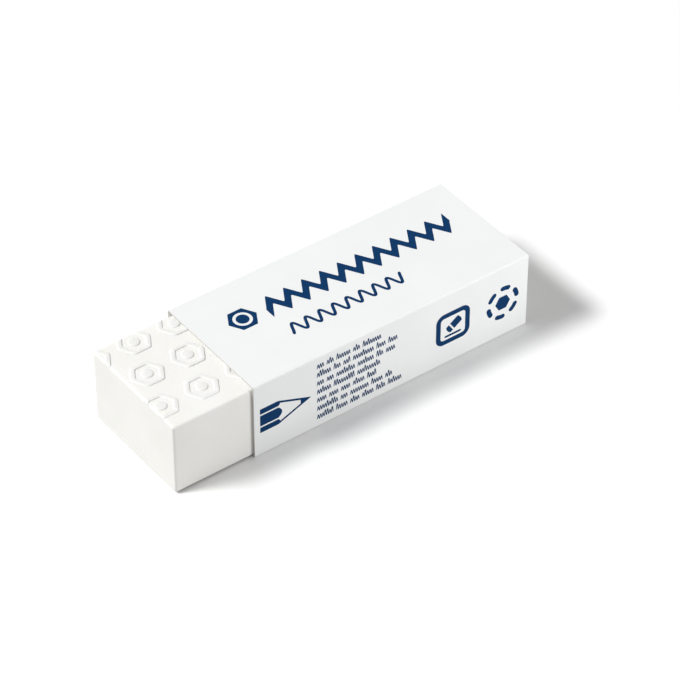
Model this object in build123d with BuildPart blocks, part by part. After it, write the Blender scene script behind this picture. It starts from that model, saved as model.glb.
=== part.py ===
from build123d import *

import os
from math import ceil

# A plastic eraser: one block of soft white vinyl, pushed through a printed card sleeve.
# Millimetres. X runs along the block, and the bare working end is at -X. Z is up.
# The origin is the middle of the whole thing, on the surface that it stands on.

# Eraser block
block_length = 65.0
block_width = 21.0
block_height = 13.0  # over the raised pattern
edge_radius = 0.35

# Raised pattern on the block's top: the end of a six-sided pencil, wood around a round lead.
# It is pressed into the long slab that blocks are cut from, so it runs off their edges.
relief_height = 0.15
relief_draft = 20.0  # degrees that each flank leans in
motif_across_flats = 5.0
wood_width = 0.7
lead_diameter = 1.8
motif_pitch = 7.2  # along the block
row_pitch = 7.1  # across the block
rows = 3
pattern_shift = 1.6  # of the middle row from the block's centre line

# Card sleeve: one strip, folded round four corners, its end glued over a flap
sleeve_length = 51.7
card = 0.25
fold_radius = 0.05  # inside a fold
flap_gap = 0.3  # from the glued flap's free edge up to the inside of the roof
lap_edge_height = 0.6  # of the strip's free edge above the surface

# Fit of the block in the sleeve. It lies on the sleeve's floor.
side_gap = 0.2  # on each side
floor_gap = 0.05
roof_gap = 0.25  # over the raised pattern
tail_recess = 0.6  # the block's far end sits this deep in the sleeve

# The sleeve's opening, and the sleeve over its card. The back wall is two cards thick.
inner_width = block_width + 2 * side_gap
inner_height = floor_gap + block_height + roof_gap
sleeve_width = inner_width + 3 * card
sleeve_height = inner_height + 2 * card
outer_fold_radius = fold_radius + card

# Places along X
overall_length = block_length + tail_recess
sleeve_tail = overall_length / 2
sleeve_mouth = sleeve_tail - sleeve_length
block_centre_x = -tail_recess / 2

# Places across Y: faces of the sleeve's walls
front_outside = -sleeve_width / 2
front_inside = front_outside + card
back_outside = sleeve_width / 2
flap_outside = back_outside - card
flap_inside = flap_outside - card
block_centre_y = (front_inside + flap_inside) / 2

# Heights
floor_inside = card
roof_inside = sleeve_height - card
flap_top = roof_inside - flap_gap
block_bottom = floor_inside + floor_gap
plain_top = block_bottom + block_height - relief_height

# Block without its pattern: a bar with every edge rounded
with BuildPart() as plain_block:
    with BuildSketch(Plane.XY.offset(block_bottom)):
        with Locations((block_centre_x, block_centre_y)):
            Rectangle(block_length, block_width)
    extrude(amount=plain_top - block_bottom)
    fillet(plain_block.edges(), edge_radius)

# One motif, seen from above: a six-sided ring with a round lead inside it
with BuildSketch() as pencil_end:
    RegularPolygon(radius=motif_across_flats / 2, side_count=6, major_radius=False)
    offset(amount=-wood_width, kind=Kind.INTERSECTION, mode=Mode.SUBTRACT)
    Circle(lead_diameter / 2)

# Pattern: each row steps on by a share of the pitch. It reaches down to the foot of the rounded
# edges, and is trimmed by the plain block raised by the relief, so it follows them over the side.
motifs_per_row = ceil(block_length / motif_pitch) + 1
row_step = motif_pitch / rows
with BuildPart() as relief:
    with BuildSketch(Plane.XY.offset(plain_top)) as pattern:
        for row in range(rows):
            rows_from_middle = row - (rows - 1) / 2
            row_x = block_centre_x + rows_from_middle * row_step
            row_y = block_centre_y + pattern_shift + rows_from_middle * row_pitch
            with Locations((row_x, row_y)):
                with GridLocations(motif_pitch, row_pitch, motifs_per_row, 1):
                    add(pencil_end.sketch)
    extrude(amount=relief_height, taper=relief_draft)
    extrude(pattern.sketch, amount=-edge_radius)
    with Locations((0, 0, relief_height)):
        add(plain_block.part, mode=Mode.INTERSECT)

with BuildPart() as eraser_block:
    add(plain_block.part)
    add(relief.part)

# Card sleeve: the folded strip's section, drawn looking along X and carried along the sleeve
with BuildPart() as card_sleeve:
    with BuildSketch(Plane.YZ.offset(sleeve_mouth)):
        with BuildLine():
            FilletPolyline(
                (front_outside, 0),
                (flap_outside, 0),
                (flap_outside, lap_edge_height),
                (back_outside, lap_edge_height),
                (back_outside, sleeve_height),
                (front_outside, sleeve_height),
                radius=[outer_fold_radius, outer_fold_radius, 0, 0, outer_fold_radius, outer_fold_radius],
                close=True,
            )
        make_face()
        with BuildLine():
            FilletPolyline(
                (front_inside, floor_inside),
                (flap_inside, floor_inside),
                (flap_inside, flap_top),
                (flap_outside, flap_top),
                (flap_outside, roof_inside),
                (front_inside, roof_inside),
                radius=[fold_radius, fold_radius, 0, 0, fold_radius, fold_radius],
                close=True,
            )
        make_face(mode=Mode.SUBTRACT)
    extrude(amount=sleeve_length)

eraser_block.part.label = "eraser_block"
card_sleeve.part.label = "card_sleeve"

os.makedirs("parts", exist_ok=True)
export_step(eraser_block.part, "parts/eraser_block.step")
export_step(card_sleeve.part, "parts/card_sleeve.step")
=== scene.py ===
from math import radians

import bmesh
import bpy
import numpy as np
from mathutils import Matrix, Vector


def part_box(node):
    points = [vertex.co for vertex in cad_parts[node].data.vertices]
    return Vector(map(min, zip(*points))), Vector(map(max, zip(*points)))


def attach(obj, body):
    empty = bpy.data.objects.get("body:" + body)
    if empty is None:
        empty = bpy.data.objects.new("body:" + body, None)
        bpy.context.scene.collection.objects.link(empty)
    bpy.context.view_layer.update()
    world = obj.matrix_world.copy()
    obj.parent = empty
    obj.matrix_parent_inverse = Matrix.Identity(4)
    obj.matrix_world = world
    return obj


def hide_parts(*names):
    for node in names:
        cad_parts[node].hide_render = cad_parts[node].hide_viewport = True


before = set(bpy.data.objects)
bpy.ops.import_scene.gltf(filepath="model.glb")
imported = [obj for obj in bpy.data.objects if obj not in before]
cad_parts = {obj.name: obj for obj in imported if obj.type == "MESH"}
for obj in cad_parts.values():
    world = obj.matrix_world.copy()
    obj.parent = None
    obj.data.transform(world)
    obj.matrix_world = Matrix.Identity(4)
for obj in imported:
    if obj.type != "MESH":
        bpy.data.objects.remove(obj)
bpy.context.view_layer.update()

# A plastic eraser: a block of white vinyl in a printed card sleeve. Metres, as in the frame.
mm = 0.001
mergeDistance = 0.0005 * mm      # points of a mesh that are closer than this become one


def linearColour(hexColour):
    # sRGB to linear: each channel over 12.92 when it is dark, otherwise ((c + 0.055) / 1.055) to the 2.4
    channels = np.array([int(hexColour[k:k + 2], 16) for k in (1, 3, 5)]) / 255
    linear = np.where(channels <= 0.04045, channels / 12.92, ((channels + 0.055) / 1.055) ** 2.4)
    return (*linear.tolist(), 1.0)


def addNode(tree, kind, inputs=None, **settings):
    # adds one node; an input that is a socket is linked, any other is set as a value
    made = tree.nodes.new(kind)
    for name, value in settings.items():
        setattr(made, name, value)
    for name, value in (inputs or {}).items():
        if isinstance(value, bpy.types.NodeSocket):
            tree.links.new(value, made.inputs[name])
        else:
            made.inputs[name].default_value = value
    return made


def newMaterial(name):
    # a material whose node tree is empty
    material = bpy.data.materials.new(name)
    material.use_nodes = True
    material.node_tree.nodes.clear()
    return material, material.node_tree


def gridFaces(rows, columns, closedRows=False, closedColumns=False):
    # quads between neighbours of a rows x columns grid, numbered row by row
    row = np.arange(rows if closedRows else rows - 1)[:, None]
    column = np.arange(columns if closedColumns else columns - 1)[None, :]
    nextRow, nextColumn = (row + 1) % rows, (column + 1) % columns
    corners = [row * columns + column, row * columns + nextColumn,
               nextRow * columns + nextColumn, nextRow * columns + column]
    return np.stack(corners, axis=-1).reshape(-1, 4)


def meshObject(name, points, faces, materials, faceMaterial=None, flat=None):
    # faces is a list of index rows; doubled points are merged and faces turned outwards. Where flat
    # is true the face is shaded flat, and elsewhere smooth
    mesh = bpy.data.meshes.new(name)
    mesh.from_pydata(points.reshape(-1, 3).tolist(), [], [list(map(int, face)) for face in faces])
    for material in materials:
        mesh.materials.append(material)
    if faceMaterial is not None:
        mesh.polygons.foreach_set("material_index", np.asarray(faceMaterial, dtype=np.int32))
    smooth = np.ones(len(faces), dtype=bool) if flat is None else ~np.asarray(flat, dtype=bool)
    mesh.polygons.foreach_set("use_smooth", smooth)
    work = bmesh.new()
    work.from_mesh(mesh)
    bmesh.ops.remove_doubles(work, verts=work.verts, dist=mergeDistance)
    bmesh.ops.dissolve_degenerate(work, edges=work.edges, dist=mergeDistance)
    bmesh.ops.delete(work, geom=[edge for edge in work.edges if edge.is_wire], context="EDGES")
    bmesh.ops.recalc_face_normals(work, faces=work.faces)
    work.to_mesh(mesh)
    work.free()
    made = bpy.data.objects.new(name, mesh)
    bpy.context.scene.collection.objects.link(made)
    return made


def headings(angle):
    # unit vectors in a plane: the cosine and the sine of each angle
    return np.stack([np.cos(angle), np.sin(angle)], axis=-1)


def easedShares(count):
    # from 0 to 1 in steps that shorten towards both ends: half of one less the cosine of an even turn
    return (1 - np.cos(np.linspace(0, np.pi, count))) / 2


blockLook = {
    "edgeRadius": 0.35 * mm,
    "edgeSteps": 6,
    "edgeTurn": 68.0,            # degrees of an upper edge's rounding that the pattern runs over
    "support": 0.35 * mm,        # of the flat next to each rounded edge
    "bodySections": 30,
    "cutTolerance": 1e-8,        # metres; a point this close to a cut counts as on it
    "reliefHeight": 0.15 * mm,
    "reliefFlank": 0.16 * mm,
    "flankSteps": 5,
    "sink": 0.06 * mm,           # of the pattern's own foot into the block
    "acrossFlats": 5.0 * mm,
    "flatness": 20,              # power that rounds the hexagon's corners, less for rounder ones
    "hexagonSteps": 120,
    "woodWidth": 0.7 * mm,
    "leadDiameter": 1.8 * mm,
    "motifPitch": 7.2 * mm,
    "rowPitch": 7.1 * mm,
    "rows": 3,
    "columnsEachSide": 6,        # of the middle one, more than the block has room for
    "patternShift": 1.6 * mm,
}
blockLow, blockHigh = (np.array(corner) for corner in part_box("eraser_block"))
blockHigh[2] -= blockLook["reliefHeight"]    # the block's own top, under the pattern
blockMiddle = (blockLow + blockHigh) / 2


def blockBody(look):
    # a section carried along X. The section is the inner rectangle grown by the edge radius, and
    # over the two ends it is grown by the radius times the sine of the turn of the rounded edge
    radius, support, steps = look["edgeRadius"], look["support"], look["edgeSteps"]
    inner = (blockHigh - blockLow)[1:] / 2 - radius
    corners = np.array([[1, -1], [1, 1], [-1, 1], [-1, -1]]) * inner
    aheads = np.array([[0, 1], [-1, 0], [0, -1], [1, 0]])
    base, angle = [], []
    for k, (corner, ahead) in enumerate(zip(corners, aheads)):
        span = 2 * abs(ahead @ inner)
        flat = np.array([support, span / 2, span - support])
        base += [np.tile(corner, (steps + 1, 1)), corner + flat[:, None] * ahead]
        angle += [90 * (k - 1) + np.linspace(0, 90, steps + 1), np.full(len(flat), 90.0 * k)]
    outward = headings(np.radians(np.concatenate(angle)))
    bend = np.radians(np.linspace(0, 90, steps + 1))
    start, end = blockLow[0] + radius, blockHigh[0] - radius
    between = np.linspace(start + 2 * support, end - 2 * support, look["bodySections"])
    body = np.concatenate([[start + support], between, [end - support]])
    x = np.concatenate([start - radius * np.cos(bend), body, (end + radius * np.cos(bend))[::-1]])
    grown = np.concatenate([radius * np.sin(bend), np.full(len(body), radius),
                            (radius * np.sin(bend))[::-1]])
    yz = blockMiddle[1:] + np.concatenate(base) + grown[:, None, None] * outward
    points = np.concatenate([np.broadcast_to(x[:, None, None], yz.shape[:2] + (1,)), yz], axis=2)
    rows, columns = points.shape[:2]
    ends = [list(range(columns)), list(range((rows - 1) * columns, rows * columns))]
    return points, gridFaces(rows, columns, closedColumns=True).tolist(), ends


def trimmed(points, faces, look):
    # a flat pattern cut off at the block's upper edges and corners and closed there again. It is also
    # cut along lines over each edge's rounding, a sine apart, so that it can bend there.
    flat = bpy.data.meshes.new("flatPattern")
    flat.from_pydata(points.tolist(), [], faces)
    work = bmesh.new()
    work.from_mesh(flat)
    radius = look["edgeRadius"]
    reach = radius * np.sin(np.radians(np.linspace(0, look["edgeTurn"], look["edgeSteps"])))
    inner = (blockHigh - blockLow)[:2] / 2 - radius
    for outward in ((1, 0), (-1, 0), (0, 1), (0, -1), (1, 1), (1, -1), (-1, 1), (-1, -1)):
        normal = np.array(outward) / np.hypot(*outward)
        for past in reach.tolist():
            place = blockMiddle[:2] + outward * inner + normal * past
            geometry = work.verts[:] + work.edges[:] + work.faces[:]
            cut = bmesh.ops.bisect_plane(work, geom=geometry, dist=look["cutTolerance"],
                                         plane_co=(*place, 0), plane_no=(*normal, 0),
                                         clear_outer=past == reach[-1].item())
        rim = [edge for edge in cut["geom_cut"] if isinstance(edge, bmesh.types.BMEdge)]
        bmesh.ops.holes_fill(work, edges=rim, sides=0)
    work.to_mesh(flat)
    work.free()
    kept = np.empty(3 * len(flat.vertices))
    flat.vertices.foreach_get("co", kept)
    return kept.reshape(-1, 3), [list(face.vertices) for face in flat.polygons]


def draped(flat, look):
    # on to the block's top: a point past the inner rectangle sits on the rounded edge's quarter
    # circle, and its rise fades with that edge's upward lean
    radius = look["edgeRadius"]
    inner = (blockHigh - blockLow)[:2] / 2 - radius
    offset = flat[:, :2] - blockMiddle[:2]
    past = offset - np.clip(offset, -inner, inner)
    up = np.sqrt(np.maximum(1 - (past ** 2).sum(axis=1) / radius ** 2, 0))
    return np.column_stack([flat[:, :2], blockHigh[2] - radius + radius * up + flat[:, 2] * up])


def ridge(width, look):
    # how far in from its outline, and how high, each point of a ridge's section is. A flank has its
    # middle on the outline, and is steep at the foot and level on top: its height is one less the
    # square of what is left of the flank
    share = np.linspace(0, 1, look["flankSteps"])
    inset = share * look["reliefFlank"] - look["reliefFlank"] / 2
    height = look["reliefHeight"] * (1 - (1 - share) ** 2)
    foot = [-look["sink"]]
    return (np.concatenate([inset[:1], inset, width - inset[::-1], width - inset[:1]]),
            np.concatenate([foot, height, height[::-1], foot]))


def pencilEnds(look):
    # the raised pattern, a ridge carried round a hexagon and a disc inside it. A hexagon's radius is
    # its apothem over the p-norm of the cosines of the angles to its three pairs of flats.
    rows = np.arange(look["rows"]) - (look["rows"] - 1) / 2
    columns = np.arange(-look["columnsEachSide"], look["columnsEachSide"] + 1)
    u = columns * look["motifPitch"] + rows[:, None] * look["motifPitch"] / look["rows"]
    v = np.broadcast_to(rows[:, None] * look["rowPitch"] + look["patternShift"], u.shape)
    centres = np.stack([u, v], axis=-1).reshape(-1, 2)
    apothem, lead = look["acrossFlats"] / 2, look["leadDiameter"] / 2
    room = (blockHigh - blockLow)[:2] / 2 + apothem
    centres = centres[(np.abs(centres) < room).all(axis=1)] + blockMiddle[:2]
    angle = np.linspace(0, 2 * np.pi, look["hexagonSteps"], endpoint=False)
    flats = np.radians([30, 90, 150])
    power = look["flatness"]
    spread = (np.abs(np.cos(angle[:, None] - flats)) ** power).sum(axis=1) ** (-1 / power)
    ringInset, ringHeight = ridge(look["woodWidth"], look)
    # the disc is the outer flank alone, level from there to its centre and closed down to its foot
    discInset, discHeight = ridge(2 * lead, look)
    outer = len(discInset) // 2
    discInset = np.append(discInset[:outer], [lead, lead])
    discHeight = np.append(discHeight[:outer], [look["reliefHeight"], -look["sink"]])
    points, faces, count = [], [], 0
    for radius, height in ((spread[:, None] * (apothem - ringInset), ringHeight),
                           (np.ones(len(angle))[:, None] * (lead - discInset), discHeight)):
        flat = centres[:, None, None] + radius[None, :, :, None] * headings(angle)[None, :, None]
        rise = np.broadcast_to(height[:, None], flat.shape[:3] + (1,))
        points.append(np.concatenate([flat, rise], axis=-1).reshape(-1, 3))
        quads = gridFaces(len(angle), len(height), closedRows=True, closedColumns=True)
        size = len(angle) * len(height)
        starts = count + size * np.arange(len(centres))
        faces += (quads[None] + starts[:, None, None]).reshape(-1, 4).tolist()
        count += size * len(centres)
    flat, faces = trimmed(np.concatenate(points), faces, look)
    return draped(flat, look), faces


def makeBlock(material):
    # the body, its two flat ends and the pattern, as one mesh
    body, sides, ends = blockBody(blockLook)
    pattern, patternFaces = pencilEnds(blockLook)
    count = body.shape[0] * body.shape[1]
    points = np.concatenate([body.reshape(-1, 3), pattern])
    faces = sides + ends + [[index + count for index in face] for face in patternFaces]
    flat = np.zeros(len(faces), dtype=bool)
    flat[len(sides):len(sides) + len(ends)] = True
    return meshObject("eraser_block_skin", points, faces, [material], flat=flat)


vinylLook = {
    "dark": "#f3f2ed", "light": "#f7f6f2", "cloud": 6 * mm,
    # rubbed is the white mixed in where the edges stand out: partly wear, partly a painted highlight
    "rubbed": "#ffffff", "wearAndHighlightFrom": 0.52, "wearAndHighlightWhole": 0.62,    # pointiness of an edge
    "grain": 0.32 * mm, "grainDepth": 0.02 * mm, "smoothest": 0.52, "roughest": 0.68,
    "glow": 0.15, "glowDepth": 0.8 * mm,
}


def vinylMaterial(look):
    # soft PVC vinyl filled with chalk, moulded in slabs and cut: a warm off-white with no gloss,
    # into which a little light sinks, whiter where its edges stand out, partly rubbed wear and partly a
    # painted highlight
    material, tree = newMaterial("chalkFilledVinylMoulded")
    place = addNode(tree, "ShaderNodeTexCoord").outputs["Object"]
    grain = addNode(tree, "ShaderNodeTexNoise", {"Vector": place, "Scale": 1 / look["grain"], "Detail": 3.0})
    cloud = addNode(tree, "ShaderNodeTexNoise", {"Vector": place, "Scale": 1 / look["cloud"], "Detail": 2.0})
    tone = addNode(tree, "ShaderNodeMapRange",
                   {"Value": cloud.outputs["Fac"], "From Min": 0.3, "From Max": 0.7})
    tinted = addNode(tree, "ShaderNodeMix",
                     {"Factor": tone.outputs["Result"], "A": linearColour(look["dark"]),
                      "B": linearColour(look["light"])}, data_type="RGBA")
    # whiter edges: partly rubbed wear, partly a painted highlight on every edge that stands out
    edges = addNode(tree, "ShaderNodeNewGeometry").outputs["Pointiness"]
    rubbed = addNode(tree, "ShaderNodeMapRange",
                     {"Value": edges, "From Min": look["wearAndHighlightFrom"], "From Max": look["wearAndHighlightWhole"]})
    colour = addNode(tree, "ShaderNodeMix",
                     {"Factor": rubbed.outputs["Result"], "A": tinted.outputs["Result"],
                      "B": linearColour(look["rubbed"])}, data_type="RGBA")
    rough = addNode(tree, "ShaderNodeMapRange",
                    {"Value": grain.outputs["Fac"], "To Min": look["smoothest"], "To Max": look["roughest"]})
    bump = addNode(tree, "ShaderNodeBump",
                   {"Height": grain.outputs["Fac"], "Strength": 0.35, "Distance": look["grainDepth"]})
    shader = addNode(tree, "ShaderNodeBsdfPrincipled",
                     {"Base Color": colour.outputs["Result"], "Roughness": rough.outputs["Result"],
                      "Normal": bump.outputs["Normal"], "IOR": 1.53, "Subsurface Weight": look["glow"],
                      "Subsurface Radius": (1.0, 0.9, 0.7), "Subsurface Scale": look["glowDepth"]})
    addNode(tree, "ShaderNodeOutputMaterial", {"Surface": shader.outputs["BSDF"]})
    return material


block = makeBlock(vinylMaterial(vinylLook))
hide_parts("eraser_block")
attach(block, "eraser")
print("eraser block:", len(block.data.polygons), "faces")


sleeveLook = {
    "card": 0.25 * mm,
    "foldInside": 0.05 * mm,
    "foldSegments": 8,
    "flapHeight": 13.0 * mm,
    "lapEdge": 0.6 * mm,
    "glueLine": 0.02 * mm,       # between the flap and the lap over it
    "dip": 0.03 * mm,            # creased folds stand this much proud of the panels
    "dipPower": 10,              # more for a panel that is level nearer to its folds
    "edgeBreak": 0.03 * mm,      # of the knife-cut edges
    "panelSteps": 14,
    "lengthSteps": 60,
}
sleeveLow, sleeveHigh = (np.array(corner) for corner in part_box("card_sleeve"))


def foldedPath(corners, radius, segments, steps):
    # middle line of the folded strip: straight panels, divided more closely near their ends, joined
    # by quarter turns. Returns the points, their outward directions and how far across its panel
    # each one is, -1 to 1.
    corners = np.array(corners)
    points, normals, across = [], [], []
    last = len(corners) - 1
    for k in range(last):
        start, end = corners[k], corners[k + 1]
        along = (end - start) / np.hypot(*(end - start))
        out = np.array([-along[1], along[0]])
        panelStart = start + along * radius if k > 0 else start
        panelEnd = end - along * radius if k < last - 1 else end
        share = easedShares(steps)
        points.append(panelStart + share[:, None] * (panelEnd - panelStart))
        normals.append(np.tile(out, (steps, 1)))
        across.append(2 * share - 1)
        if k < last - 1:
            nextAlong = (corners[k + 2] - end) / np.hypot(*(corners[k + 2] - end))
            nextOut = np.array([-nextAlong[1], nextAlong[0]])
            turn = np.linspace(0, np.pi / 2, segments + 1)[1:-1, None]
            normal = out * np.cos(turn) + nextOut * np.sin(turn)
            points.append(panelEnd - out * radius + normal * radius)
            normals.append(normal)
            across.append(np.ones(len(turn)))
    return np.concatenate(points), np.concatenate(normals), np.concatenate(across)


def panelDip(across):
    # one less a high power: nothing at the folds, and almost level between them
    return sleeveLook["dip"] * (1 - across ** sleeveLook["dipPower"])


def makeSleeve(look, board, edge):
    # the strip of card, a long thin section carried along the folded middle line
    card, broken = look["card"], look["edgeBreak"]
    front, back = sleeveLow[1] + card / 2, sleeveHigh[1] - card / 2
    flap = back - card - look["glueLine"]
    bottom, top = sleeveLow[2] + card / 2, sleeveHigh[2] - card / 2
    corners = [(flap, sleeveLow[2] + card + look["flapHeight"]), (flap, bottom), (front, bottom),
               (front, top), (back, top), (back, sleeveLow[2] + look["lapEdge"])]
    middle, outward, across = foldedPath(corners, look["foldInside"] + card / 2, look["foldSegments"],
                                         look["panelSteps"])
    middle = middle - outward * panelDip(across)[:, None]
    # the strip's own section, once round its four sides, at each point of the path: the two long
    # sides are the printed and the plain face, the two ends are the cut edges
    start, end = sleeveLow[0], sleeveHigh[0]
    inner = start + broken + easedShares(look["lengthSteps"]) * (end - start - 2 * broken)
    x = np.concatenate([[start], inner, [end]])
    half = np.concatenate([[card / 2 - broken], np.full(len(inner), card / 2), [card / 2 - broken]])
    ringX = np.concatenate([x, x[::-1]])
    ringOut = np.concatenate([half, -half[::-1]])
    yz = middle[:, None] + ringOut[None, :, None] * outward[:, None]
    points = np.concatenate([np.broadcast_to(ringX[None, :, None], yz.shape[:2] + (1,)), yz], axis=2)
    rows, columns = points.shape[:2]
    faces = gridFaces(rows, columns, closedColumns=True)
    # cut faces: at each end of the section its edge and the two broken corners beside it
    count = len(x)
    column = np.tile(np.arange(columns), rows - 1)
    isCut = np.isin(column, [0, count - 2, count - 1, count, 2 * count - 2, 2 * count - 1])
    # and the strip's two long edges, which close the first row and the last
    closing = [[k, k + 1, columns - 2 - k, columns - 1 - k] for k in range(count - 1)]
    lastRow = (rows - 1) * columns
    closing += [[lastRow + index for index in face] for face in closing]
    faceMaterial = np.concatenate([isCut.astype(int), np.ones(len(closing), dtype=int)])
    flat = np.concatenate([isCut, np.ones(len(closing), dtype=bool)])
    return meshObject("card_sleeve_strip", points, faces.tolist() + closing, [board, edge],
                      faceMaterial, flat)


boardLook = {
    "dark": "#f1f2f2", "light": "#f4f5f5", "cloud": 9 * mm,
    "fibre": 0.45 * mm, "stretch": (0.35, 1.0, 1.0),    # fibres lie along X
    "fibreDepth": 0.01 * mm, "smoothest": 0.38, "roughest": 0.55,
}


def boardMaterial(look):
    # white coated carton board, calendered: a smooth cool white with a soft sheen and faint fibres
    material, tree = newMaterial("coatedBoardCalendered")
    place = addNode(tree, "ShaderNodeTexCoord").outputs["Object"]
    stretch = addNode(tree, "ShaderNodeMapping", {"Vector": place, "Scale": look["stretch"]})
    fibres = addNode(tree, "ShaderNodeTexNoise",
                     {"Vector": stretch.outputs["Vector"], "Scale": 1 / look["fibre"], "Detail": 4.0})
    cloud = addNode(tree, "ShaderNodeTexNoise", {"Vector": place, "Scale": 1 / look["cloud"], "Detail": 2.0})
    tone = addNode(tree, "ShaderNodeMapRange",
                   {"Value": cloud.outputs["Fac"], "From Min": 0.3, "From Max": 0.7})
    colour = addNode(tree, "ShaderNodeMix",
                     {"Factor": tone.outputs["Result"], "A": linearColour(look["dark"]),
                      "B": linearColour(look["light"])}, data_type="RGBA")
    rough = addNode(tree, "ShaderNodeMapRange",
                    {"Value": fibres.outputs["Fac"], "To Min": look["smoothest"], "To Max": look["roughest"]})
    bump = addNode(tree, "ShaderNodeBump",
                   {"Height": fibres.outputs["Fac"], "Strength": 0.25, "Distance": look["fibreDepth"]})
    shader = addNode(tree, "ShaderNodeBsdfPrincipled",
                     {"Base Color": colour.outputs["Result"], "Roughness": rough.outputs["Result"],
                      "Normal": bump.outputs["Normal"], "IOR": 1.5})
    addNode(tree, "ShaderNodeOutputMaterial", {"Surface": shader.outputs["BSDF"]})
    return material


# the cut edge's greys: partly the board's core, partly painted shade for the gap at the sleeve's mouth
cutEdgeAndShadeLook = {"dark": "#c0beb9", "light": "#d2d0cb", "rough": 0.85,
               "fibre": 0.12 * mm, "fibreDepth": 0.03 * mm}


def cutEdgeAndShadeMaterial(look):
    # the board's knife-cut edge: bare fibres, dull and a little darker and warmer than the coating; the
    # darkness is partly the board's own grey core and partly painted shade for the gap at the sleeve's mouth
    material, tree = newMaterial("boardFibreCutAndShade")
    place = addNode(tree, "ShaderNodeTexCoord").outputs["Object"]
    fibres = addNode(tree, "ShaderNodeTexNoise", {"Vector": place, "Scale": 1 / look["fibre"], "Detail": 3.0})
    colour = addNode(tree, "ShaderNodeMix",
                     {"Factor": fibres.outputs["Fac"], "A": linearColour(look["dark"]),
                      "B": linearColour(look["light"])}, data_type="RGBA")
    bump = addNode(tree, "ShaderNodeBump",
                   {"Height": fibres.outputs["Fac"], "Strength": 0.6, "Distance": look["fibreDepth"]})
    shader = addNode(tree, "ShaderNodeBsdfPrincipled",
                     {"Base Color": colour.outputs["Result"], "Roughness": look["rough"],
                      "Normal": bump.outputs["Normal"], "IOR": 1.45})
    addNode(tree, "ShaderNodeOutputMaterial", {"Surface": shader.outputs["BSDF"]})
    return material


sleeve = makeSleeve(sleeveLook, boardMaterial(boardLook), cutEdgeAndShadeMaterial(cutEdgeAndShadeLook))
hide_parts("card_sleeve")
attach(sleeve, "sleeve")
print("card sleeve:", len(sleeve.data.polygons), "faces")


# The print: ink on the sleeve's top and front panels. Places on a panel are (u, v) in metres, with
# u along the sleeve from its mouth. v is across from the middle line on top, and the height in front.
inkLook = {
    "lift": 0.02 * mm,           # of the ink's face over the card, thick enough to stay apart from it
    "stagger": 0.002 * mm,       # between patches that overlap, so that no two lie in one plane
    "layers": 4,                 # heights that the patches take in turn
    "sink": 0.02 * mm,
    "dark": "#042f59", "light": "#083a68", "mottle": 0.4 * mm, "rough": 0.5, "sheen": 0.05,
}


def inkMaterial(look):
    # offset printing ink under the board's varnish: an even deep navy with a very slight sheen, in
    # which the fibres of the board just show
    material, tree = newMaterial("offsetInkNavy")
    place = addNode(tree, "ShaderNodeTexCoord").outputs["Object"]
    mottle = addNode(tree, "ShaderNodeTexNoise",
                     {"Vector": place, "Scale": 1 / look["mottle"], "Detail": 3.0})
    colour = addNode(tree, "ShaderNodeMix",
                     {"Factor": mottle.outputs["Fac"], "A": linearColour(look["dark"]),
                      "B": linearColour(look["light"])}, data_type="RGBA")
    shader = addNode(tree, "ShaderNodeBsdfPrincipled",
                     {"Base Color": colour.outputs["Result"], "Roughness": look["rough"], "IOR": 1.5,
                      "Specular IOR Level": look["sheen"]})
    addNode(tree, "ShaderNodeOutputMaterial", {"Surface": shader.outputs["BSDF"]})
    return material


navy = inkMaterial(inkLook)


def panelPoints(panel, flat, lift):
    # from (u, v) on a panel to the frame, along the panel's own face with its dip
    u, v = flat[..., 0], flat[..., 1]
    fold = sleeveLook["card"] + sleeveLook["foldInside"]
    x = sleeveLow[0] + u
    if panel == "top":
        dip = panelDip(v / (sleeveHigh[1] - fold))
        return np.stack([x, v, sleeveHigh[2] - dip + lift], axis=-1)
    middle = (sleeveLow[2] + sleeveHigh[2]) / 2
    dip = panelDip((v - middle) / (sleeveHigh[2] - middle - fold))
    return np.stack([x, sleeveLow[1] + dip - lift, v], axis=-1)


def strokeBand(path, halfWidth):
    # two rails, one each side of a path, at its normal times the half width
    along = np.gradient(path, axis=0)
    along /= np.hypot(along[:, 0], along[:, 1])[:, None]
    normal = np.column_stack([-along[:, 1], along[:, 0]])
    offset = normal * np.broadcast_to(halfWidth, len(path))[:, None]
    return path - offset, path + offset, False


def roundEnded(path, width, startCap=1.0, endCap=1.0):
    # a stroke whose half width falls to nothing at its ends as an ellipse; a cap is in half widths,
    # and an end whose cap is nothing stays square
    travelled = np.concatenate([[0], np.cumsum(np.hypot(*np.diff(path, axis=0).T))])
    half = np.full(len(travelled), width / 2)
    for fromEnd, cap in ((travelled, startCap), (travelled[-1] - travelled, endCap)):
        if cap:
            inside = np.clip(1 - fromEnd / (cap * width / 2), 0, 1)
            half = half * np.sqrt(1 - inside ** 2)
    return strokeBand(path, half)


def straightPath(start, end, steps=12):
    # points from start to end, closer together near both ends, where the round caps are
    return np.array(start) + easedShares(steps)[:, None] * (np.array(end) - np.array(start))


def polygonLoop(centre, apothem, sides, perSide, turn=0.0):
    # radius = apothem over the cosine of the angle from the nearest flat's middle
    angle = np.linspace(0, 2 * np.pi, sides * perSide, endpoint=False)
    fromFlat = (angle + np.pi / sides) % (2 * np.pi / sides) - np.pi / sides
    radius = apothem / np.cos(fromFlat)
    return np.array(centre) + radius[:, None] * headings(angle + turn)


def circleLoop(centre, radius, count):
    # evenly spaced points at one radius
    return np.array(centre) + radius * headings(np.linspace(0, 2 * np.pi, count, endpoint=False))


def roundedBoxLoop(centre, half, corner, segments=8):
    # four quarter circles, joined by straight sides
    turn = np.linspace(0, np.pi / 2, segments + 1)
    loop = [np.array(side) * (half - corner) + corner * headings(turn + start)
            for side, start in (((1, 1), 0), ((-1, 1), np.pi / 2), ((-1, -1), np.pi), ((1, -1), 1.5 * np.pi))]
    return np.array(centre) + np.concatenate(loop)


def filled(loop):
    # a band from the loop to its own middle
    return loop, np.tile(loop.mean(axis=0), (len(loop), 1)), True


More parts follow.
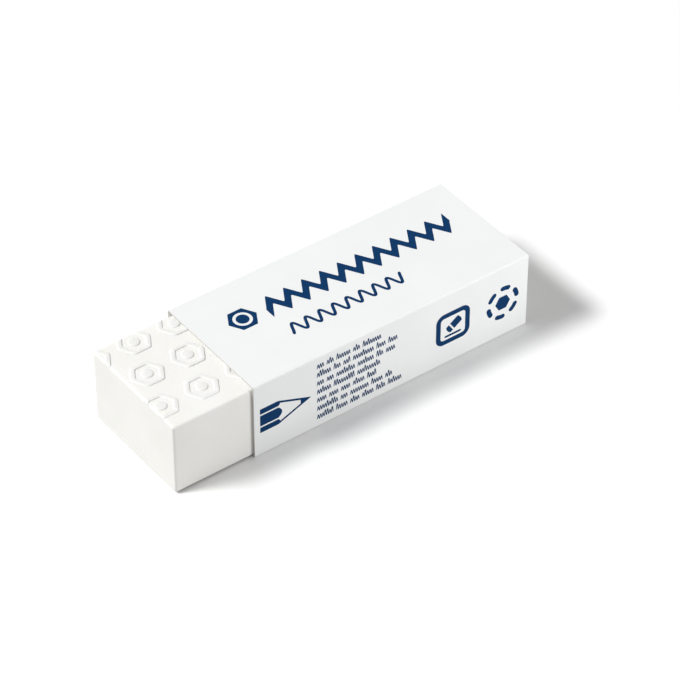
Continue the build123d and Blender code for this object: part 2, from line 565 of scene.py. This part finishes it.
def inkPiece(name, panel, bands):
    # every band is a closed slab: its two rails, each low in the card and high on it, carried round
    points, faces, count = [], [], 0
    for k, (railA, railB, closed) in enumerate(bands):
        high, low = inkLook["lift"] - k % inkLook["layers"] * inkLook["stagger"], -inkLook["sink"]
        ring = np.stack([panelPoints(panel, rail, lift) for rail, lift in
                         ((railA, low), (railA, high), (railB, high), (railB, low))], axis=1)
        rows, columns = ring.shape[:2]
        points.append(ring.reshape(-1, 3))
        faces += (gridFaces(rows, columns, closedRows=closed, closedColumns=True) + count).tolist()
        if not closed:
            first = list(range(count, count + columns))
            faces += [first, [index + (rows - 1) * columns for index in first]]
        count += rows * columns
    made = meshObject(name, np.concatenate(points), faces, [navy], flat=[True] * len(faces))
    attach(made, "sleeve")


emblemLook = {"at": (7.8 * mm, 2.65 * mm), "acrossFlats": 4.4 * mm, "sideSteps": 8,
              "woodDiameter": 3.1 * mm, "leadDiameter": 2.1 * mm, "leadSteps": 40}


def emblemBands(look):
    # the end of a pencil: painted hexagon, bare wood, lead
    at = np.array(look["at"])
    hexagon = polygonLoop(at, look["acrossFlats"] / 2, 6, look["sideSteps"], turn=np.pi / 6)
    angle = np.arctan2(*(hexagon - at).T[::-1])
    wood = at + look["woodDiameter"] / 2 * headings(angle)
    return [(hexagon, wood, True), filled(circleLoop(at, look["leadDiameter"] / 2, look["leadSteps"]))]


zigzagLook = {"start": 11.9 * mm, "end": 47.2 * mm, "middle": 2.6 * mm, "swing": 1.3 * mm,
              "thickness": 2.1 * mm, "periods": 10.5, "sharpness": 0.985, "steps": 460}


def zigzagBands(look):
    # arcsine of a sine: straight strokes with barely rounded turns, the same thickness upright,
    # from one of its low turns to one of its high ones
    share = np.linspace(0, 1, look["steps"])
    swing = np.arcsin(look["sharpness"] * np.sin(np.pi * (2 * look["periods"] * share - 0.5)))
    v = look["middle"] + look["swing"] * swing / np.arcsin(look["sharpness"])
    u = look["start"] + share * (look["end"] - look["start"])
    half = look["thickness"] / 2
    return [(np.column_stack([u, v - half]), np.column_stack([u, v + half]), False)]


waveLook = {"start": 11.9 * mm, "end": 33.4 * mm, "middle": -3.6 * mm, "swing": 1.1 * mm,
            "width": 0.5 * mm, "periods": 8.5, "steps": 400}


def waveBands(look):
    # a cosine wave drawn as a round-ended stroke of even width
    share = np.linspace(0, 1, look["steps"])
    u = look["start"] + share * (look["end"] - look["start"])
    v = look["middle"] - look["swing"] * np.cos(2 * np.pi * look["periods"] * share)
    return [roundEnded(np.column_stack([u, v]), look["width"])]


pencilLook = {
    "start": 1.1 * mm, "paintEnd": 4.4 * mm, "tip": 10.4 * mm, "middle": 6.7 * mm, "height": 4.6 * mm,
    "shares": (0.25, 0.5, 0.25), "gap": 0.3 * mm,    # of the three facets, and between them
    "scallop": 0.7 * mm,         # bulge of the widest facet's end
    "line": 0.38 * mm, "lead": 1.9 * mm,
    "facetSteps": 17, "coneSteps": 12, "tipSteps": 8,
}


def pencilBands(look):
    # three painted facets whose ends bulge as parabolas, the cone's two edges and its solid tip.
    # The cone's half height falls evenly from the paint's end to nothing at the tip.
    half, middle = look["height"] / 2, look["middle"]
    room = look["height"] - 2 * look["gap"]
    bands, low = [], middle - half
    for share in look["shares"]:
        v = low + room * share * np.linspace(0, 1, look["facetSteps"])
        bulge = 1 - (2 * (v - v[0]) / (v[-1] - v[0]) - 1) ** 2
        end = look["paintEnd"] + look["scallop"] * share / max(look["shares"]) * bulge
        bands.append((np.column_stack([np.full(len(v), look["start"]), v]), np.column_stack([end, v]), False))
        low += room * share + look["gap"]
    lead = look["tip"] - look["lead"]
    for side in (-1, 1):
        u = np.linspace(look["paintEnd"], lead, look["coneSteps"])
        cone = half * (look["tip"] - u) / (look["tip"] - look["paintEnd"])
        bands.append((np.column_stack([u, middle + side * cone]),
                      np.column_stack([u, middle + side * (cone - look["line"])]), False))
    u = np.linspace(lead, look["tip"], look["tipSteps"])
    cone = half * (look["tip"] - u) / (look["tip"] - look["paintEnd"])
    bands.append((np.column_stack([u, middle - cone]), np.column_stack([u, middle + cone]), False))
    return bands


notesLook = {
    "start": 11.5 * mm, "firstLine": 11.45 * mm, "pitch": 1.655 * mm,
    "lineEnds": (23.4, 26.7, 26.1, 23.6, 22.6, 25.8, 27.6),    # in mm
    "height": 0.85 * mm, "riser": 1.45, "riserAbove": 0.75,    # a draw above this makes a taller stroke
    "strokePitch": 0.43 * mm, "strokeSteps": 8, "line": 0.145 * mm,
    "wordStrokes": (3, 10),      # a word has at least the first and less than the second
    "wordGap": 0.5 * mm,
    "leastRoom": 2,              # strokes that a last word needs
    "leastRest": 4,              # a word takes the rest of its line where less would be left
    "seed": 11,
}


def noteBands(look):
    # lines of small scribbled words that say nothing: each is a few strokes of a cosine wave that
    # stands on its line, some of them taller, with seeded random lengths
    draw = np.random.default_rng(look["seed"])
    bands = []
    for row, lineEnd in enumerate(np.array(look["lineEnds"]) * mm):
        foot = look["firstLine"] - row * look["pitch"]
        u = look["start"]
        while u < lineEnd - look["leastRoom"] * look["strokePitch"]:
            room = int((lineEnd - u) / look["strokePitch"])
            strokes = min(int(draw.integers(*look["wordStrokes"])), room)
            if room - strokes < look["leastRest"]:
                strokes = room
            share = np.linspace(0, strokes, strokes * look["strokeSteps"] + 1)
            rises = np.where(draw.random(strokes) > look["riserAbove"], look["riser"], 1.0)
            height = look["height"] / 2 * rises[np.minimum(share.astype(int), strokes - 1)]
            v = foot + height * (1 - np.cos(np.pi * 2 * share))
            path = np.column_stack([u + share * look["strokePitch"], v])
            bands.append(roundEnded(path, look["line"]))
            u += strokes * look["strokePitch"] + look["wordGap"]
    return bands


frameMarkLook = {
    "at": (37.15 * mm, 6.95 * mm), "half": (3.25 * mm, 3.05 * mm), "corner": 1.5 * mm, "line": 0.88 * mm,
    # the small eraser inside: its middle from the frame's, its lean in radians, and along it from
    # that middle where its sleeve and its bare end start and stop
    "heart": (0.15 * mm, 0.25 * mm), "lean": 0.6, "thickness": 1.5 * mm,
    "sleeved": (-0.35 * mm, 1.55 * mm), "sleevedCap": 0.3,
    "bare": (-1.45 * mm, -0.65 * mm), "bareCap": 0.4,
    "rubbedHalf": 1.6 * mm, "rubbedDrop": 1.55 * mm, "rubbedLine": 0.4 * mm,
}


def frameMarkBands(look):
    # a rounded frame round a small eraser that leans on its rubbed line
    at, half, corner, line = np.array(look["at"]), np.array(look["half"]), look["corner"], look["line"]
    outer = roundedBoxLoop(at, half, corner)
    inner = roundedBoxLoop(at, half - line, corner - line)
    heart, lean = at + np.array(look["heart"]), headings(look["lean"])
    sleeved = straightPath(heart + lean * look["sleeved"][0], heart + lean * look["sleeved"][1])
    bare = straightPath(heart + lean * look["bare"][0], heart + lean * look["bare"][1])
    across, drop = look["rubbedHalf"], look["rubbedDrop"]
    rubbed = straightPath(at + np.array([-across, -drop]), at + np.array([across, -drop]))
    return [(outer, inner, True), roundEnded(sleeved, look["thickness"], 0, look["sleevedCap"]),
            roundEnded(bare, look["thickness"], look["bareCap"], 0), roundEnded(rubbed, look["rubbedLine"])]


dashMarkLook = {"at": (46.85 * mm, 6.7 * mm), "radius": 2.75 * mm, "line": 0.85 * mm, "dashes": 6,
                "dashShare": 0.68, "dashSteps": 24, "heart": 1.25 * mm, "heartSideSteps": 6}


def dashMarkBands(look):
    # a ring of round-ended dashes, each an arc of the ring, round a small hexagon
    at, span = np.array(look["at"]), 2 * np.pi / look["dashes"]
    bands = [filled(polygonLoop(at, look["heart"], 6, look["heartSideSteps"], turn=np.pi / 6))]
    for k in range(look["dashes"]):
        angle = span * (k + look["dashShare"] * easedShares(look["dashSteps"]))
        bands.append(roundEnded(at + look["radius"] * headings(angle), look["line"]))
    return bands


inkPiece("print_emblem", "top", emblemBands(emblemLook))
inkPiece("print_zigzag", "top", zigzagBands(zigzagLook))
inkPiece("print_wave", "top", waveBands(waveLook))
inkPiece("print_pencil", "front", pencilBands(pencilLook))
inkPiece("print_notes", "front", noteBands(notesLook))
inkPiece("print_frame_mark", "front", frameMarkBands(frameMarkLook))
inkPiece("print_dash_mark", "front", dashMarkBands(dashMarkLook))
print("print: seven pieces of ink")


stageLook = {
    # angles in degrees; the sensor and the lens are the camera's own millimetres
    "azimuth": -36.586, "elevation": 40.634, "distance": 496.55 * mm,
    "aim": (2.774 * mm, -3.067 * mm, 6.5 * mm),
    "sensor": 36.0, "lens": 173.37, "clip": (0.01, 10.0),
    "floorSize": 1.6, "floorSeen": "#ffffff", "floorBounced": "#b8b8b8",
    "sky": 0.37,
    "lamps": {  # size is the width and height of an oval softbox
        "keyLamp": {"turn": -110.0, "height": 48.0, "away": 3.6, "size": (1.0, 0.72), "power": 69.5},
        "backLamp": {"turn": -121.0, "height": 47.0, "away": 3.6, "size": (1.24, 0.84), "power": 43.0},
        "fillLamp": {"turn": 33.0, "height": 3.8, "away": 0.18, "size": (0.072, 0.02), "power": 0.15},
    },
}


def fromAngles(azimuth, elevation):
    # unit vector towards the viewer: azimuth 0 looks along +Y, so the viewer is at -Y
    a, e = radians(azimuth), radians(elevation)
    return Vector((np.sin(a) * np.cos(e), -np.cos(a) * np.cos(e), np.sin(e)))


def makeCamera(look):
    # stands back from its aim by the distance, and looks at it along its own -Z
    data = bpy.data.cameras.new("camera")
    data.sensor_width = look["sensor"]
    data.lens = look["lens"]
    data.clip_start, data.clip_end = look["clip"]
    camera = bpy.data.objects.new("camera", data)
    back = fromAngles(look["azimuth"], look["elevation"])
    camera.location = Vector(look["aim"]) + back * look["distance"]
    camera.rotation_euler = back.to_track_quat("Z", "Y").to_euler()
    bpy.context.scene.collection.objects.link(camera)
    bpy.context.scene.camera = camera


def directRays(tree):
    # 1 for what the camera sees, straight or by reflection, and 0 for the light that bounces about
    rays = addNode(tree, "ShaderNodeLightPath")
    seen = rays.outputs["Is Camera Ray"]
    for kind in ("Is Glossy Ray", "Is Transmission Ray"):
        either = addNode(tree, "ShaderNodeMath", {0: seen, 1: rays.outputs[kind]}, operation="MAXIMUM")
        seen = either.outputs[0]
    return seen


def makeLamp(name, look):
    # an oval softbox that faces the origin
    data = bpy.data.lights.new(name, "AREA")
    data.shape = "ELLIPSE"
    data.size, data.size_y = look["size"]
    data.energy = look["power"]
    lamp = bpy.data.objects.new(name, data)
    towards = fromAngles(look["turn"], look["height"])
    lamp.location = towards * look["away"]
    lamp.rotation_euler = towards.to_track_quat("Z", "Y").to_euler()
    bpy.context.scene.collection.objects.link(lamp)


def makeFloor(look):
    # white paper to the eye and in reflections, a greyer sheet in what it bounces on to the object
    half = look["floorSize"] / 2
    points = np.array([(-half, -half, 0), (half, -half, 0), (half, half, 0), (-half, half, 0)])
    material, tree = newMaterial("whitePaperSweep")
    seen = addNode(tree, "ShaderNodeBsdfDiffuse", {"Color": linearColour(look["floorSeen"])})
    bounced = addNode(tree, "ShaderNodeBsdfDiffuse", {"Color": linearColour(look["floorBounced"])})
    mix = addNode(tree, "ShaderNodeMixShader", {0: directRays(tree), 1: bounced.outputs["BSDF"],
                                                2: seen.outputs["BSDF"]})
    addNode(tree, "ShaderNodeOutputMaterial", {"Surface": mix.outputs[0]})
    floor = meshObject("floor", points, [(0, 1, 2, 3)], [material])


def makeSky(strength):
    # white to the eye and in reflections; everything else is lit at the plain strength
    world = bpy.data.worlds.new("studio")
    world.use_nodes = True
    tree = world.node_tree
    tree.nodes.clear()
    plain = addNode(tree, "ShaderNodeBackground", {"Color": linearColour("#ffffff"), "Strength": strength})
    white = addNode(tree, "ShaderNodeBackground", {"Color": linearColour("#ffffff"), "Strength": 1.0})
    mix = addNode(tree, "ShaderNodeMixShader",
                  {0: directRays(tree), 1: plain.outputs[0], 2: white.outputs[0]})
    addNode(tree, "ShaderNodeOutputWorld", {"Surface": mix.outputs[0]})
    bpy.context.scene.world = world


makeCamera(stageLook)
for lampName, lampLook in stageLook["lamps"].items():
    makeLamp(lampName, lampLook)
makeFloor(stageLook)
makeSky(stageLook["sky"])
bpy.context.scene.view_settings.view_transform = "Standard"
print("stage: camera, three lamps, floor and sky")
